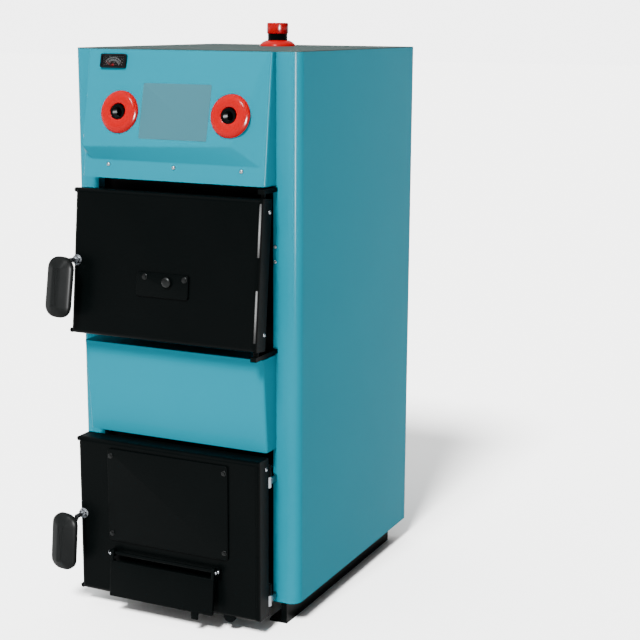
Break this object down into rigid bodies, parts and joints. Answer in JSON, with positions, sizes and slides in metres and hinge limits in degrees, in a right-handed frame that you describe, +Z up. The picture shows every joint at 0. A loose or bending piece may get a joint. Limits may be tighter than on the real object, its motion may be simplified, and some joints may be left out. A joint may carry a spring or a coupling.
{
  "type": "solid fuel boiler",
  "caption": "Free-standing solid fuel boiler in a turquoise sheet-metal casing, with a leaning fuel door, an ash door with an air flap, and pipe connections.",
  "frame": {"origin": "on the floor, in the middle of the base frame, on the casing's centre line", "axes": "+Z up, the front with the doors faces -Y, +X is to the right as seen from the front"},
  "size_m": [0.5685, 0.8715, 1.3412],
  "materials": {
    "turquoise_powder_coat": "turquoise powder coat on folded sheet steel, semi-gloss",
    "grey_powder_coat": "grey powder coat, semi-gloss",
    "black_stove_paint": "black heat-resistant paint, satin",
    "raw_steel": "mill-finish boiler plate, dull",
    "cast_grate": "rough cast iron",
    "red_plastic": "red moulded plastic, glossy",
    "black_plastic": "black moulded plastic, satin",
    "zinc_plate": "bright zinc plating",
    "lining_board": "pale heat-proof insulating board",
    "dial_print": "black dial with white print behind a clear window"
  },
  "bodies": {
    "boiler": {"left_side_panel": "turquoise_powder_coat", "right_side_panel": "turquoise_powder_coat", "top_cover": "grey_powder_coat", "rear_panel": "turquoise_powder_coat", "control_panel": "turquoise_powder_coat", "middle_panel": "turquoise_powder_coat", "left_base_rail": "black_stove_paint", "right_base_rail": "black_stove_paint", "base_cross_bar": "black_stove_paint", "floor_plate": "raw_steel", "front_plate": "black_stove_paint", "left_water_jacket": "raw_steel", "right_water_jacket": "raw_steel", "rear_water_jacket": "raw_steel", "crown_water_jacket": "raw_steel", "left_grate_ledge": "raw_steel", "right_grate_ledge": "raw_steel", "fire_grate": "cast_grate", "fuel_door_frame": "black_stove_paint", "ash_door_frame": "black_stove_paint", "flow_pipe": "black_stove_paint", "flow_pipe_rosette": "red_plastic", "flow_pipe_cap": "red_plastic", "left_socket": "black_stove_paint", "right_socket": "black_stove_paint", "left_rosette": "red_plastic", "right_rosette": "red_plastic", "thermometer_case": "black_plastic", "thermometer_face": "dial_print", "flue_collar": "black_stove_paint", "return_pipe": "black_stove_paint", "drain_socket": "black_stove_paint", "fuel_door_top_hinge": "black_stove_paint", "fuel_door_low_hinge": "black_stove_paint", "ash_door_top_hinge": "black_stove_paint", "ash_door_low_hinge": "black_stove_paint"},
    "fuel_door": {"fuel_door_shell": "black_stove_paint", "fuel_door_lining": "lining_board", "secondary_air_plate": "black_stove_paint"},
    "fuel_door_handle": {"fuel_door_spindle": "zinc_plate", "fuel_door_grip": "black_plastic"},
    "ash_door": {"ash_door_shell": "black_stove_paint", "ash_door_lining": "lining_board", "ash_door_cover_plate": "black_stove_paint", "flap_pivot": "black_stove_paint"},
    "ash_door_handle": {"ash_door_spindle": "zinc_plate", "ash_door_grip": "black_plastic"},
    "air_flap": {"air_flap": "black_stove_paint"}
  },
  "joints": [
    {"name": "fuel_door_hinge", "type": "hinge", "parent": "boiler", "child": "fuel_door", "pos_m": [0.226, -0.39612, 0.6537], "axis": [0, 0.1045, 0.9945], "range_deg": [0, 110]},
    {"name": "fuel_door_handle_turn", "type": "hinge", "parent": "fuel_door", "child": "fuel_door_handle", "pos_m": [-0.223, -0.40075, 0.8201], "axis": [0, 0.9945, -0.1045], "range_deg": [0, 80]},
    {"name": "ash_door_hinge", "type": "hinge", "parent": "boiler", "child": "ash_door", "pos_m": [0.228, -0.343, 0.038], "axis": [0, 0, 1], "range_deg": [0, 110]},
    {"name": "ash_door_handle_turn", "type": "hinge", "parent": "ash_door", "child": "ash_door_handle", "pos_m": [-0.223, -0.403, 0.225], "axis": [0, 1, 0], "range_deg": [0, 80]},
    {"name": "air_flap_hinge", "type": "hinge", "parent": "ash_door", "child": "air_flap", "pos_m": [0, -0.417, 0.1475], "axis": [-1, 0, 0], "range_deg": [0, 55]}
  ]
}
